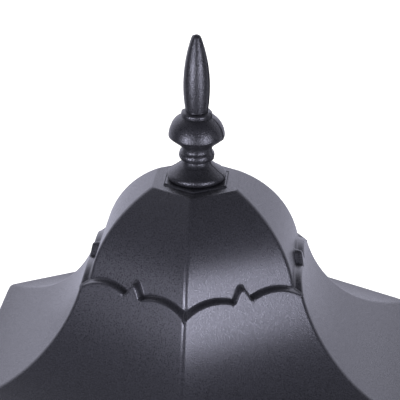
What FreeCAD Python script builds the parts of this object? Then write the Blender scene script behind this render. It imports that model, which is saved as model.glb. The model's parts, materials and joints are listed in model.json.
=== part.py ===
import FreeCAD, Part
import math
import os

os.makedirs("parts", exist_ok=True)

V = FreeCAD.Vector
UP = V(0, 0, 1)
PANELS = 6
STEP = 360.0 / PANELS
HALF = math.radians(STEP / 2)
COS = math.cos(HALF)
TAN = math.tan(HALF)

# Sizes are in millimetres. The lamp stands on z = 0 with its axis on Z and one roof corner towards -Y.
# An apothem is the distance from the axis to the middle of a flat; corner radii are apothem / COS.

# Clearances
SOCKET_FIT = 0.2
SCREW_FIT = 0.1
SCREW_END_FIT = 0.3
PANE_FIT = 0.3
RING_FIT = 0.4
CUT = 1.0

# Screws: shares of their own sizes, and how far they stop short of a far face
SET_SCREW_COUNT = 3
SET_SCREW_TURN = 30.0
SET_SCREW_SINK = 0.5
SOCKET_SHARE = 0.5
HEAD_EDGE_SHARE = 0.45
SCREW_SHORT = 1.5
WASHER_T = 0.8

# Base casting
BASE_R = 100.0
BASE_EDGE_H = 8.0
BASE_EDGE_ROUND = 3.0
BASE_FLARE_R = 66.0
BASE_FLARE_H = 13.0
BASE_WAIST_R = 38.0
BASE_WAIST_H = 80.0
BASE_BEAD_R = 42.5
BASE_BEAD_H = 12.0
BASE_NECK_R = 35.0
BASE_TOP_R = 31.5
BASE_TOP_BEAD_R = 34.0
BASE_TOP_BEAD_H = 8.0
BASE_HEIGHT = 152.0
BASE_WALL = 5.0
POST_SEAT_H = 64.0
POST_SEAT_T = 6.0
POST_SEAT_BORE_R = 21.0
ANCHOR_PCD = 164.0
ANCHOR_COUNT = 4
ANCHOR_HOLE_R = 5.0
ANCHOR_SPOT_R = 10.0
ANCHOR_SPOT_T = 7.5
ANCHOR_TURN = 45.0
BASE_SCREW_DROP = 24.0
BASE_SCREW_R = 3.0

# Post tube
POST_R = 25.0
POST_WALL = 2.0
POST_LENGTH = 622.0

# Lantern dish
DISH_SOCKET_LEN = 46.0
DISH_SOCKET_WALL = 4.0
DISH_BEAD_R = 32.0
DISH_BEAD_H = 7.0
DISH_FLOOR_T = 4.0
DISH_CUP_R = 41.0
DISH_CUP_WALL = 3.0
DISH_CUP_H = 36.5
CUP_BELLY_OUT = 0.78
CUP_BELLY_UP = 0.42
DISH_STEP_H = 3.0
DISH_PLATE_T = 5.0
DISH_PLATE_CORNER_R = 58.0
DISH_PLATE_ROUND = 1.5
DISH_SCREW_DROP = 26.0
DISH_SCREW_R = 2.5
BOSS_R = 4.0
BOSS_AT = 24.0
BOSS_H = 26.0
BOSS_HOLE = 8.0
CABLE_HOLE_R = 7.0
GROMMET_LIP = 1.5
GROMMET_FLANGE = 2.5
GROMMET_WALL = 2.5

# Gasket between dish and frame
GASKET_T = 1.5
GASKET_INSET = 0.6

# Lantern frame
FRAME_HEIGHT = 164.5
FRAME_BOTTOM_CORNER_R = 52.0
FRAME_WALL = 3.0
FRAME_FLANGE_CORNER_R = 56.5
FRAME_FLANGE_T = 4.0
FRAME_RING_T = 3.0
FRAME_RING_LIP = 3.0
WINDOW_SIDE = 8.0
WINDOW_END = 10.0
WINDOW_ROUND = 3.0
BAR_WEB = 4.0
FRAME_SCREW_R = 2.0
FRAME_HEAD_R = 3.6
FRAME_HEAD_H = 2.4
FRAME_SCREW_COUNT = 3

# Glazing
PANE_T = 3.0
BEAD_W = 14.0
BEAD_DEPTH = 5.2
BEAD_END = 12.0
BEAD_SCREW_R = 1.5
BEAD_SCREW_SKIN = 1.6
BEAD_SCREW_INSET = 22.0
BEAD_HEAD_R = 2.85
BEAD_HEAD_H = 1.6

# Roof casting: depths are measured down from its flat top
PLINTH_CORNER_R = 15.1
PLINTH_H = 0.7
TOP_CORNER_R = 20.7
TOP_T = 3.0
TOP_ROUND = 2.0
DOME_R = 53.7
LEDGE_DEPTH = 37.3
LEDGE_SLOPE = math.radians(12.0)
LEDGE_BACK = 4.5
SCALLOP_RISE = 2.95
SCALLOP_PEAK = 0.54
TOOTH_HALF_W = 4.0
TOOTH_H = 7.7
TOOTH_TIP_R = 1.9
SKIRT_UPPER_R = 65.2
SKIRT_LOWER_R = 51.2
SKIRT_TURN = math.radians(40.4)
EAVE_SLOPE = math.radians(5.0)
EAVE_CORNER_R = 110.0
EAVE_OVERHANG = 26.0
SKIRT_RUN = 60.2
EAVE_DEPTH = 83.0
EAVE_PLAN_ROUND = 5.0
FASCIA_H = 6.3
FASCIA_T = 3.0
ROOF_WALL = 2.5
RIDGE_ROUND = 3.0
ROOF_SEAT_DEPTH = 85.8
ROOF_BOSS_R = 5.0
ROOF_BOSS_SKIN = 1.3
ROOF_STUD_R = 2.0
ROOF_STUD_COUNT = 3
ROOF_WASHER_R = 4.4
ROOF_NUT_APOTHEM = 3.5
ROOF_NUT_H = 3.2
ROOF_NUT_CAP_R = 3.2
ROOF_NUT_CAP_H = 3.0

# Finial: heights are measured up from its foot
FINIAL_FOOT_R = 11.0
FINIAL_RIM_R = 12.5
FINIAL_RIM_FACE = 1.85
FINIAL_SHOULDER_R = 11.6
FINIAL_RIM_H = 3.3
FINIAL_WAIST_R = 7.6
FINIAL_WAIST_H = 6.2
FINIAL_BELL_R = 5.9
FINIAL_BELL_H = 8.5
FINIAL_RING_R = 7.55
FINIAL_RING_H = 4.0
FINIAL_RING_TOP_R = 6.6
FINIAL_NECK_R = 6.45
FINIAL_NECK_H = 2.6
FINIAL_UNDER_R = 6.75
FINIAL_BULB_R = 11.85
FINIAL_BULB_DROP = 4.1
FINIAL_BULB_RISE = 8.6
FINIAL_BULB_TOP_R = 7.05
FINIAL_COLLAR_R = 6.6
FINIAL_COLLAR_H = 2.2
FINIAL_SPEAR_BASE_R = 4.58
FINIAL_SPEAR_R = 5.57
FINIAL_SPEAR_LOWER = 10.7
FINIAL_SPEAR_UPPER = 21.05
FINIAL_TIP_R = 1.94
FINIAL_TIP_H = 1.5
FINIAL_STUD_R = 3.0
FINIAL_STUD_DEPTH = 14.0
FINIAL_STUD_OVER = 2.0
FINIAL_WASHER_R = 7.2
FINIAL_WASHER_T = 1.6
FINIAL_NUT_APOTHEM = 5.0
FINIAL_NUT_H = 5.0
SEAL_R = 9.0
SEAL_T = 1.0

# Finial arcs: where the middle of each lies, as shares of its run and of its height
SHOULDER_BEND = (0.53, 0.47)
BELL_BEND = (0.7, 0.42)
NECK_BEND = 0.3
BULB_UNDER_BEND = (0.44, 0.42)
BULB_OVER_BEND = (0.15, 0.44)
COLLAR_STEP_R = 0.25
COLLAR_STEP_H = 0.15
COLLAR_BEND = 0.41
SPEAR_LOWER_BEND = (0.71, 0.47)
SPEAR_UPPER_BEND = (0.24, 0.5)

# Lamp holder, bulb and wiring pieces
BRACKET_W = 22.0
BRACKET_T = 2.0
BRACKET_LEN = 60.0
HOLDER_R = 20.0
HOLDER_MOUTH_R = 21.5
HOLDER_BELOW_CAP = 1.0
HOLDER_FLOOR_T = 12.0
HOLDER_FOOT_EDGE = 2.0
HOLDER_LIP = 5.0
HOLDER_FLARE = 3.0
HOLDER_EDGE = 1.5
HOLDER_MOUTH_EDGE = 1.2
SHELL_T = 0.8
SHELL_H = 20.0
CAP_R = 13.2
CAP_H = 24.0
CAP_FIT = 0.3
CONTACT_T = 0.8
CONTACT_W = 8.0
CONTACT_LEN = 16.0
BULB_R = 30.0
BULB_NECK_R = 15.5
BULB_LEN = 104.0
BULB_SWEEP = math.radians(38.0)
BULB_SHOULDER = 2.6
BULB_SHOULDER_DROP = 6.0
NECK_EDGE = 1.0
NECK_RISE = 4.0
BUTTON_R = 4.5
BUTTON_H = 1.0
CAP_CONE_H = 4.0
CAP_EDGE = 1.0
RIVET_R = 3.0
RIVET_WALL = 1.0
RIVET_HEAD_R = 5.4
RIVET_END_R = 5.1
RIVET_HEAD_T = 1.5
RIVET_SINK = 5.0
RIVET_RECESS_R = 6.0
TERMINAL_L = 20.0
TERMINAL_W = 10.0
TERMINAL_H = 13.0
TERMINAL_GAP = 1.5
TERMINAL_ROUND = 0.8
TERMINAL_SEAT = 3.0
TERMINAL_WAYS = 3
WIRE_WAY_R = 1.8
WIRE_WAY_UP = 0.62
SMALL_SCREW_R = 1.5
SMALL_HEAD_R = 3.0
SMALL_HEAD_H = 1.8
SMALL_HEAD_FIT = 0.3
BRACKET_SCREW_LEN = 8.0
EARTH_GAP = 7.0
EARTH_SCREW_R = 2.0
EARTH_HEAD_R = 3.8
EARTH_HEAD_H = 2.6
EARTH_WASHER_R = 4.4


# General helpers
def edges_of(start, steps):
    """Edges in the XZ plane: a step of two numbers is a line, one of four an arc through a point."""
    edges = []
    here = V(start[0], 0, start[1])
    for step in steps:
        there = V(step[-2], 0, step[-1])
        if len(step) == 2:
            edges.append(Part.makeLine(here, there))
        else:
            edges.append(Part.Arc(here, V(step[0], 0, step[1]), there).toShape())
        here = there
    return edges


def section(start, steps):
    return Part.Face(Part.Wire(edges_of(start, list(steps) + [start])))


def turned(start, steps):
    return section(start, steps).revolve(V(0, 0, 0), UP, 360)


def round_end(radius, z, height):
    """Step of a turned outline: from a radius at a level over a ball-shaped end to the axis."""
    ball_r = (radius * radius + height * height) / (2 * abs(height))
    half_angle = math.asin(radius / ball_r) / 2
    end = z + height
    fall = math.copysign(ball_r * (1 - math.cos(half_angle)), height)
    return ball_r * math.sin(half_angle), end - fall, 0, end


def cylinder(radius, bottom, top, x=0.0, y=0.0):
    return Part.makeCylinder(radius, top - bottom, V(x, y, bottom))


def box(size_x, size_y, bottom, top, x=0.0, y=0.0):
    return Part.makeBox(size_x, size_y, top - bottom, V(x - size_x / 2, y - size_y / 2, bottom))


def round_about(shape, count, start=0.0):
    """Copies of a shape at equal steps about the lamp's axis."""
    copies = []
    for index in range(count):
        copy = shape.copy()
        copy.rotate(V(0, 0, 0), UP, start + index * 360.0 / count)
        copies.append(copy)
    return copies


def put(shape, place, direction):
    """A shape made along +Z from the origin, moved to a place and turned to a direction."""
    moved = shape.copy()
    moved.Placement = FreeCAD.Placement(place, FreeCAD.Rotation(UP, direction))
    return moved


def hexagon(apothem, z):
    corner = apothem / COS
    points = []
    for index in range(PANELS + 1):
        angle = HALF + math.radians(index * STEP)
        points.append(V(corner * math.cos(angle), corner * math.sin(angle), z))
    return Part.makePolygon(points)


def hex_block(apothem_0, z_0, apothem_1, z_1):
    return Part.makeLoft([hexagon(apothem_0, z_0), hexagon(apothem_1, z_1)], True, True)


def hex_prism(apothem, z_0, z_1):
    return Part.Face(hexagon(apothem, z_0)).extrude(V(0, 0, z_1 - z_0))


def upright_edges(shape):
    return [edge for edge in shape.Edges if abs(edge.tangentAt(edge.FirstParameter).z) > 0.9]


def rounded_hex_prism(apothem, z_0, z_1, radius):
    prism = hex_prism(apothem, z_0, z_1)
    return prism.makeFillet(radius, upright_edges(prism))


def mitred(start, steps, reach):
    """Solid whose six equal panels all have one profile of apothem against height."""
    right = edges_of(start, steps)
    left = [edge.mirror(V(0, 0, 0), V(1, 0, 0)) for edge in right]
    face = Part.Face(Part.Wire(Part.__sortEdges__(right + left)))
    face.translate(V(0, -reach, 0))
    bar = face.extrude(V(0, 2 * reach, 0))
    solid = bar
    for turned_bar in round_about(bar, PANELS)[1:PANELS // 2]:
        solid = solid.common(turned_bar)
    return solid


def pan_screw(radius, length, head_r, head_h):
    """Screw along +Z: its head stands on z = 0 and its shank goes down."""
    edge = head_h * HEAD_EDGE_SHARE
    return turned((0, -length), [
        (radius, -length),
        (radius, 0),
        (head_r, 0),
        (head_r, head_h - edge),
        (head_r - edge, head_h),
        (0, head_h),
    ])


def set_screw(radius, length):
    """Set screw along +Z with a hexagon socket in its outer end."""
    socket = hex_prism(radius * SOCKET_SHARE, length - radius, length + CUT)
    return cylinder(radius, 0, length).cut(socket)


def save(name, *shapes):
    solids = []
    for shape in shapes:
        solids.extend(shape.Solids)
    Part.makeCompound(solids).exportStep("parts/%s.step" % name)


# Levels of the stack, from the ground up
post_bottom = POST_SEAT_H
post_top = post_bottom + POST_LENGTH
dish_floor = post_top + DISH_FLOOR_T
plate_bottom = dish_floor + DISH_CUP_H
plate_top = plate_bottom + DISH_PLATE_T
frame_bottom = plate_top + GASKET_T
frame_top = frame_bottom + FRAME_HEIGHT
ring_top = frame_top + FRAME_RING_T
roof_top = ring_top + ROOF_SEAT_DEPTH
finial_foot = roof_top + PLINTH_H

socket_r = POST_R + SOCKET_FIT
base_screw_h = BASE_HEIGHT - BASE_SCREW_DROP
dome_foot_r = EAVE_CORNER_R - SKIRT_RUN
frame_top_r = EAVE_CORNER_R - EAVE_OVERHANG


# Base: a hollow bell, open at the ground, with the socket for the post
def waist_arc_r(waist_r, waist_h, foot_r, foot_h):
    """Radius of the concave arc that is upright at the waist and passes through the foot."""
    run = foot_r - waist_r
    rise = waist_h - foot_h
    return (run * run + rise * rise) / (2 * run)


def make_base():
    waist_r = waist_arc_r(BASE_WAIST_R, BASE_WAIST_H, BASE_FLARE_R, BASE_FLARE_H)
    centre_r = BASE_WAIST_R + waist_r

    def hollow_r(height):
        return centre_r - math.sqrt((waist_r + BASE_WALL) ** 2 - (height - BASE_WAIST_H) ** 2)

    def flare_r(height):
        return centre_r - math.sqrt(waist_r ** 2 - (height - BASE_WAIST_H) ** 2)

    bead_top = BASE_WAIST_H + BASE_BEAD_H
    top_bead = BASE_HEIGHT - BASE_TOP_BEAD_H
    seat_under = POST_SEAT_H - POST_SEAT_T
    hollow_foot = BASE_FLARE_H - BASE_WALL
    middle = (BASE_FLARE_H + BASE_WAIST_H) / 2
    hollow_middle = (hollow_foot + seat_under) / 2
    slant = BASE_EDGE_ROUND * (1 - math.sqrt(0.5))
    bell = turned((hollow_r(hollow_foot), 0), [
        (BASE_R, 0),
        (BASE_R, BASE_EDGE_H - BASE_EDGE_ROUND),
        (BASE_R - slant, BASE_EDGE_H - slant, BASE_R - BASE_EDGE_ROUND, BASE_EDGE_H),
        (BASE_FLARE_R, BASE_FLARE_H),
        (flare_r(middle), middle, BASE_WAIST_R, BASE_WAIST_H),
        (BASE_BEAD_R, BASE_WAIST_H + BASE_BEAD_H / 2, BASE_NECK_R, bead_top),
        (BASE_TOP_R, top_bead),
        (BASE_TOP_BEAD_R, top_bead + BASE_TOP_BEAD_H / 2, BASE_TOP_R, BASE_HEIGHT),
        (socket_r, BASE_HEIGHT),
        (socket_r, POST_SEAT_H),
        (POST_SEAT_BORE_R, POST_SEAT_H),
        (POST_SEAT_BORE_R, seat_under),
        (hollow_r(seat_under), seat_under),
        (hollow_r(hollow_middle), hollow_middle, hollow_r(hollow_foot), hollow_foot),
    ])
    hole = cylinder(ANCHOR_HOLE_R, -CUT, BASE_WAIST_H, ANCHOR_PCD / 2)
    spot = cylinder(ANCHOR_SPOT_R, ANCHOR_SPOT_T, BASE_WAIST_H, ANCHOR_PCD / 2)
    for cutter in round_about(hole.fuse(spot), ANCHOR_COUNT, ANCHOR_TURN):
        bell = bell.cut(cutter)
    tapped = put(cylinder(BASE_SCREW_R + SCREW_FIT, 0, BASE_R), V(0, 0, base_screw_h), V(1, 0, 0))
    for cutter in round_about(tapped, SET_SCREW_COUNT, SET_SCREW_TURN):
        bell = bell.cut(cutter)
    return bell


def radial_set_screws(radius, outer_r, height):
    screw = put(set_screw(radius, outer_r - POST_R), V(POST_R, 0, height), V(1, 0, 0))
    return round_about(screw, SET_SCREW_COUNT, SET_SCREW_TURN)


# Dish: socket for the post below, cup for the wiring, six-sided plate for the frame above
plate_apothem = DISH_PLATE_CORNER_R * COS
flange_apothem = FRAME_FLANGE_CORNER_R * COS
opening_r = DISH_CUP_R - DISH_CUP_WALL
dish_socket_r = socket_r + DISH_SOCKET_WALL
frame_screw_at = (DISH_CUP_R + flange_apothem) / 2
dish_screw_h = post_top - DISH_SCREW_DROP


def cup_profile(inset):
    """Arc of the cup from its foot to the plate, moved inwards by the wall."""
    foot_r = dish_socket_r + DISH_STEP_H - inset
    foot_z = post_top + DISH_STEP_H if inset == 0 else dish_floor
    rim_r = DISH_CUP_R - inset
    middle_r = foot_r + (rim_r - foot_r) * CUP_BELLY_OUT
    middle_z = foot_z + (plate_bottom - foot_z) * CUP_BELLY_UP
    return foot_r, foot_z, middle_r, middle_z, rim_r


def make_dish():
    foot_r, foot_z, middle_r, middle_z, rim_r = cup_profile(0)
    in_foot_r, in_foot_z, in_middle_r, in_middle_z, in_rim_r = cup_profile(DISH_CUP_WALL)
    mouth = post_top - DISH_SOCKET_LEN
    body = turned((socket_r, mouth), [
        (dish_socket_r, mouth),
        (DISH_BEAD_R, mouth + DISH_BEAD_H / 2, dish_socket_r, mouth + DISH_BEAD_H),
        (dish_socket_r, post_top),
        (foot_r, post_top),
        (foot_r, foot_z),
        (middle_r, middle_z, rim_r, plate_bottom),
        (rim_r, plate_top),
        (in_rim_r, plate_top),
        (in_rim_r, plate_bottom),
        (in_middle_r, in_middle_z, in_foot_r, in_foot_z),
        (CABLE_HOLE_R, dish_floor),
        (CABLE_HOLE_R, post_top),
        (socket_r, post_top),
    ])
    plate = hex_prism(plate_apothem, plate_bottom, plate_top)
    plate = plate.makeFillet(DISH_PLATE_ROUND, plate.Edges)
    plate = plate.cut(cylinder(opening_r, plate_bottom - CUT, plate_top + CUT))
    body = body.fuse(plate)
    boss = cylinder(BOSS_R, post_top + DISH_FLOOR_T / 2, dish_floor + BOSS_H, BOSS_AT)
    for upright in round_about(boss, 2):
        body = body.fuse(upright)
    body = body.removeSplitter()
    boss_top = dish_floor + BOSS_H
    boss_hole = cylinder(SMALL_SCREW_R + SCREW_FIT, boss_top - BOSS_HOLE, boss_top + CUT, BOSS_AT)
    cutters = round_about(boss_hole, 2)
    frame_hole = cylinder(FRAME_SCREW_R + SCREW_FIT, plate_bottom - CUT, plate_top + CUT, frame_screw_at)
    cutters += round_about(frame_hole, FRAME_SCREW_COUNT, STEP)
    tapped = put(cylinder(DISH_SCREW_R + SCREW_FIT, 0, plate_apothem), V(0, 0, dish_screw_h), V(1, 0, 0))
    cutters += round_about(tapped, SET_SCREW_COUNT, SET_SCREW_TURN)
    blind = dish_floor - floor_hole
    cutters.append(cylinder(SMALL_SCREW_R + SCREW_FIT, blind, dish_floor + CUT, 0, terminal_at))
    cutters.append(cylinder(EARTH_SCREW_R + SCREW_FIT, blind, dish_floor + CUT, 0, -earth_at))
    for cutter in cutters:
        body = body.cut(cutter)
    return body


# Places of the wiring pieces on the dish floor
grommet_flange_r = CABLE_HOLE_R + GROMMET_FLANGE
terminal_at = grommet_flange_r + TERMINAL_GAP + TERMINAL_W / 2
earth_at = grommet_flange_r + EARTH_GAP
floor_hole = DISH_FLOOR_T - CUT
floor_grip = DISH_FLOOR_T - SCREW_SHORT


def make_grommet():
    bore = CABLE_HOLE_R - GROMMET_WALL
    return turned((bore, post_top - GROMMET_LIP), [
        (grommet_flange_r, post_top - GROMMET_LIP),
        (grommet_flange_r, post_top),
        (CABLE_HOLE_R, post_top),
        (CABLE_HOLE_R, dish_floor),
        (grommet_flange_r, dish_floor),
        (grommet_flange_r, dish_floor + GROMMET_LIP),
        (bore, dish_floor + GROMMET_LIP),
    ])


def make_terminal_block():
    top = dish_floor + TERMINAL_H
    block = box(TERMINAL_L, TERMINAL_W, dish_floor, top, 0, terminal_at)
    block = block.makeFillet(TERMINAL_ROUND, upright_edges(block))
    pitch = TERMINAL_L / TERMINAL_WAYS
    near = terminal_at - TERMINAL_W / 2
    wire_way = cylinder(WIRE_WAY_R, -CUT, TERMINAL_W + CUT)
    for index in range(TERMINAL_WAYS):
        across = (index - (TERMINAL_WAYS - 1) / 2) * pitch
        place = V(across, near, dish_floor + TERMINAL_H * WIRE_WAY_UP)
        block = block.cut(put(wire_way, place, V(0, 1, 0)))
    fixing = cylinder(SMALL_SCREW_R + SCREW_FIT, dish_floor - CUT, top + CUT, 0, terminal_at)
    recess = cylinder(SMALL_HEAD_R + SMALL_HEAD_FIT, dish_floor + TERMINAL_SEAT, top + CUT, 0, terminal_at)
    return block.cut(fixing).cut(recess)


def make_terminal_screw():
    screw = pan_screw(SMALL_SCREW_R, TERMINAL_SEAT + floor_grip, SMALL_HEAD_R, SMALL_HEAD_H)
    return put(screw, V(0, terminal_at, dish_floor + TERMINAL_SEAT), UP)


def make_earth_screw():
    """Screw with its own captive washer."""
    screw = pan_screw(EARTH_SCREW_R, floor_grip + WASHER_T, EARTH_HEAD_R, EARTH_HEAD_H)
    washer = cylinder(EARTH_WASHER_R, -WASHER_T, 0)
    return put(screw.fuse(washer).removeSplitter(), V(0, -earth_at, dish_floor + WASHER_T), UP)


# Lamp holder on its strap
strap_bottom = dish_floor + BOSS_H
strap_top = strap_bottom + BRACKET_T
shell_r = CAP_R + CAP_FIT + SHELL_T
holder_floor = strap_top + HOLDER_FLOOR_T
cap_bottom = holder_floor + CONTACT_T


def make_bracket():
    strap = box(BRACKET_LEN, BRACKET_W, strap_bottom, strap_top)
    strap = strap.common(cylinder(BRACKET_LEN / 2, strap_bottom, strap_top))
    drilled = cylinder(SMALL_SCREW_R + SCREW_FIT, strap_bottom - CUT, strap_top + CUT, BOSS_AT)
    for hole in round_about(drilled, 2):
        strap = strap.cut(hole)
    return strap.cut(cylinder(RIVET_R + SCREW_FIT, strap_bottom - CUT, strap_top + CUT))


def make_bracket_screws():
    screw = pan_screw(SMALL_SCREW_R, BRACKET_SCREW_LEN, SMALL_HEAD_R, SMALL_HEAD_H)
    return round_about(put(screw, V(BOSS_AT, 0, strap_top), UP), 2)


def make_holder():
    bore = shell_r + SCREW_FIT
    top = cap_bottom + CAP_H - HOLDER_BELOW_CAP
    rivet_seat = holder_floor - RIVET_SINK
    return turned((RIVET_R + SCREW_FIT, strap_top), [
        (HOLDER_R - HOLDER_FOOT_EDGE, strap_top),
        (HOLDER_R, strap_top + HOLDER_FOOT_EDGE),
        (HOLDER_R, top - HOLDER_LIP - HOLDER_FLARE),
        (HOLDER_MOUTH_R, top - HOLDER_LIP),
        (HOLDER_MOUTH_R, top - HOLDER_EDGE),
        (HOLDER_MOUTH_R - HOLDER_EDGE, top),
        (bore + HOLDER_MOUTH_EDGE, top),
        (bore, top - HOLDER_MOUTH_EDGE),
        (bore, holder_floor),
        (RIVET_RECESS_R, holder_floor),
        (RIVET_RECESS_R, rivet_seat),
        (RIVET_R + SCREW_FIT, rivet_seat),
    ])


def make_shell():
    return turned((shell_r - SHELL_T, holder_floor), [
        (shell_r, holder_floor),
        (shell_r, holder_floor + SHELL_H),
        (shell_r - SHELL_T, holder_floor + SHELL_H),
    ])


def make_contact():
    return box(CONTACT_LEN, CONTACT_W, holder_floor, holder_floor + CONTACT_T)


def make_rivet():
    under = strap_bottom - RIVET_HEAD_T
    seat = holder_floor - RIVET_SINK
    return turned((RIVET_R - RIVET_WALL, under), [
        (RIVET_HEAD_R, under),
        (RIVET_HEAD_R, strap_bottom),
        (RIVET_R, strap_bottom),
        (RIVET_R, seat),
        (RIVET_END_R, seat),
        (RIVET_END_R, seat + RIVET_HEAD_T),
        (RIVET_R - RIVET_WALL, seat + RIVET_HEAD_T),
    ])


def make_bulb():
    cap_top = cap_bottom + CAP_H
    top = cap_bottom + BULB_LEN
    globe = top - BULB_R
    shoulder = (cap_top + globe) / 2 - BULB_SHOULDER_DROP
    meet_r = BULB_R * math.cos(BULB_SWEEP)
    meet_z = globe - BULB_R * math.sin(BULB_SWEEP)
    return turned((0, cap_bottom), [
        (BUTTON_R, cap_bottom),
        (BUTTON_R, cap_bottom + BUTTON_H),
        (CAP_R - CAP_EDGE, cap_bottom + CAP_CONE_H),
        (CAP_R, cap_bottom + CAP_CONE_H + CAP_EDGE),
        (CAP_R, cap_top),
        (BULB_NECK_R - NECK_EDGE, cap_top + NECK_EDGE),
        (BULB_NECK_R, cap_top + NECK_RISE),
        (BULB_NECK_R + BULB_SHOULDER, shoulder, meet_r, meet_z),
        (BULB_R, globe, 0, top),
    ])


# Gasket and frame
frame_a0 = FRAME_BOTTOM_CORNER_R * COS
frame_a1 = frame_top_r * COS
lean = math.atan2(frame_a1 - frame_a0, FRAME_HEIGHT)
slant_len = FRAME_HEIGHT / math.cos(lean)
eave_a = EAVE_CORNER_R * COS
ring_a = eave_a - FASCIA_T - RING_FIT
pane_depth = FRAME_WALL + PANE_T
ring_open_a = frame_a1 - pane_depth / math.cos(lean) - FRAME_RING_LIP
roof_stud_at = (frame_a1 + ring_a) / 2
UP_PANEL = V(math.sin(lean), 0, math.cos(lean))
OUT_PANEL = V(math.cos(lean), 0, -math.sin(lean))


def panel_point(along, across, out):
    """Point of the panel that faces +X: along its slope from the bottom, across it, and out of its face."""
    return V(frame_a0, across, frame_bottom) + UP_PANEL * along + OUT_PANEL * out


def panel_apothem(along, out):
    return frame_a0 + along * math.sin(lean) + out * math.cos(lean)


def panel_plate(along_0, half_0, along_1, half_1, out_0, out_1):
    """Plate in a panel with straight sides, from one depth to another."""
    corners = [(along_0, -half_0), (along_0, half_0), (along_1, half_1), (along_1, -half_1)]
    points = [panel_point(along, across, out_0) for along, across in corners]
    face = Part.Face(Part.makePolygon(points + [points[0]]))
    return face.extrude(OUT_PANEL * (out_1 - out_0))


def frame_core(inset):
    """Six-sided tapered block: the outside of the frame moved in by a depth square to its panels."""
    step = inset / math.cos(lean)
    return hex_block(frame_a0 - step, frame_bottom, frame_a1 - step, frame_top)


def make_gasket():
    ring = hex_prism(flange_apothem - GASKET_INSET, plate_top, frame_bottom)
    ring = ring.cut(cylinder(opening_r, plate_top - CUT, frame_bottom + CUT))
    hole = cylinder(FRAME_SCREW_R + SCREW_FIT, plate_top - CUT, frame_bottom + CUT, frame_screw_at)
    for cutter in round_about(hole, FRAME_SCREW_COUNT, STEP):
        ring = ring.cut(cutter)
    return ring


frame_screw_len = DISH_PLATE_T + GASKET_T + FRAME_FLANGE_T - SCREW_SHORT


def make_frame_screws():
    screw = pan_screw(FRAME_SCREW_R, frame_screw_len, FRAME_HEAD_R, FRAME_HEAD_H)
    return round_about(put(screw, V(frame_screw_at, 0, plate_bottom), V(0, 0, -1)), FRAME_SCREW_COUNT, STEP)


def window():
    first = WINDOW_END + FRAME_FLANGE_T
    last = slant_len - WINDOW_END
    half_0 = panel_apothem(first, 0) * TAN - WINDOW_SIDE
    half_1 = panel_apothem(last, 0) * TAN - WINDOW_SIDE
    cutter = panel_plate(first, half_0, last, half_1, CUT, -FRAME_WALL - CUT)
    through = [e for e in cutter.Edges if abs(e.tangentAt(e.FirstParameter).dot(OUT_PANEL)) > 0.99]
    return cutter.makeFillet(WINDOW_ROUND, through)


# Corner bars: along the line of a corner, which leans more than the panels do
bead_seat = pane_depth + PANE_FIT
corner_lean = math.atan2(frame_top_r - FRAME_BOTTOM_CORNER_R, FRAME_HEIGHT)
OUT_CORNER = V(math.cos(corner_lean), 0, -math.sin(corner_lean))


def corner_r(z, inset):
    """Corner radius of the frame at a height, moved in by a depth square to its panels."""
    share = (z - frame_bottom) / FRAME_HEIGHT
    outside = FRAME_BOTTOM_CORNER_R + (frame_top_r - FRAME_BOTTOM_CORNER_R) * share
    return outside - inset / math.cos(lean) / COS


def corner_slab(z_0, z_1, inset_r_0, inset_r_1, width):
    """Slab on the +X side between two radii that follow a corner's lean."""
    points = [
        V(corner_r(z_0, bead_seat) - inset_r_1, 0, z_0),
        V(corner_r(z_0, bead_seat) - inset_r_0, 0, z_0),
        V(corner_r(z_1, bead_seat) - inset_r_0, 0, z_1),
        V(corner_r(z_1, bead_seat) - inset_r_1, 0, z_1),
    ]
    face = Part.Face(Part.makePolygon(points + [points[0]]))
    face.translate(V(0, -width / 2, 0))
    return face.extrude(V(0, width, 0))


def at_corner(shape):
    """A shape made on the +X side, turned to the first corner."""
    moved = shape.copy()
    moved.rotate(V(0, 0, 0), UP, -90)
    return moved


bead_z0 = frame_bottom + FRAME_FLANGE_T + BEAD_END
bead_z1 = frame_top - BEAD_END
bead_screw_levels = (bead_z0 + BEAD_SCREW_INSET, bead_z1 - BEAD_SCREW_INSET)


def bead_face(z):
    """Middle of the bead's flat inner face at a height, on the +X side."""
    return V(corner_r(z, bead_seat) - BEAD_DEPTH, 0, z)


bead_screw_len = BEAD_DEPTH + bead_seat / COS - BEAD_SCREW_SKIN


def make_frame():
    shell = frame_core(0).cut(frame_core(FRAME_WALL))
    for cutter in round_about(window(), PANELS):
        shell = shell.cut(cutter)
    flange = hex_prism(flange_apothem, frame_bottom, frame_bottom + FRAME_FLANGE_T)
    flange = flange.cut(cylinder(opening_r, frame_bottom - CUT, frame_bottom + FRAME_FLANGE_T + CUT))
    ring = hex_prism(ring_a, frame_top, ring_top)
    ring = ring.cut(hex_prism(ring_open_a, frame_top - CUT, ring_top + CUT))
    band = frame_core(FRAME_WALL / 2).cut(frame_core(bead_seat))
    web = box(frame_top_r, BAR_WEB, frame_bottom, frame_top, frame_top_r / 2)
    frame = shell.fuse(flange).fuse(ring)
    for bar in round_about(at_corner(web), PANELS):
        frame = frame.fuse(bar.common(band))
    frame = frame.removeSplitter()
    stud_hole = cylinder(ROOF_STUD_R + SCREW_FIT, frame_top - CUT, ring_top + CUT, roof_stud_at)
    for cutter in round_about(stud_hole, ROOF_STUD_COUNT):
        frame = frame.cut(cutter)
    tapped_top = plate_bottom + frame_screw_len + SCREW_END_FIT
    tapped = cylinder(FRAME_SCREW_R + SCREW_FIT, frame_bottom - CUT, tapped_top, frame_screw_at)
    for cutter in round_about(tapped, FRAME_SCREW_COUNT, STEP):
        frame = frame.cut(cutter)
    for level in bead_screw_levels:
        drilled = cylinder(BEAD_SCREW_R + SCREW_FIT, 0, bead_screw_len + SCREW_END_FIT)
        for cutter in round_about(at_corner(put(drilled, bead_face(level), OUT_CORNER)), PANELS):
            frame = frame.cut(cutter)
    return frame


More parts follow.
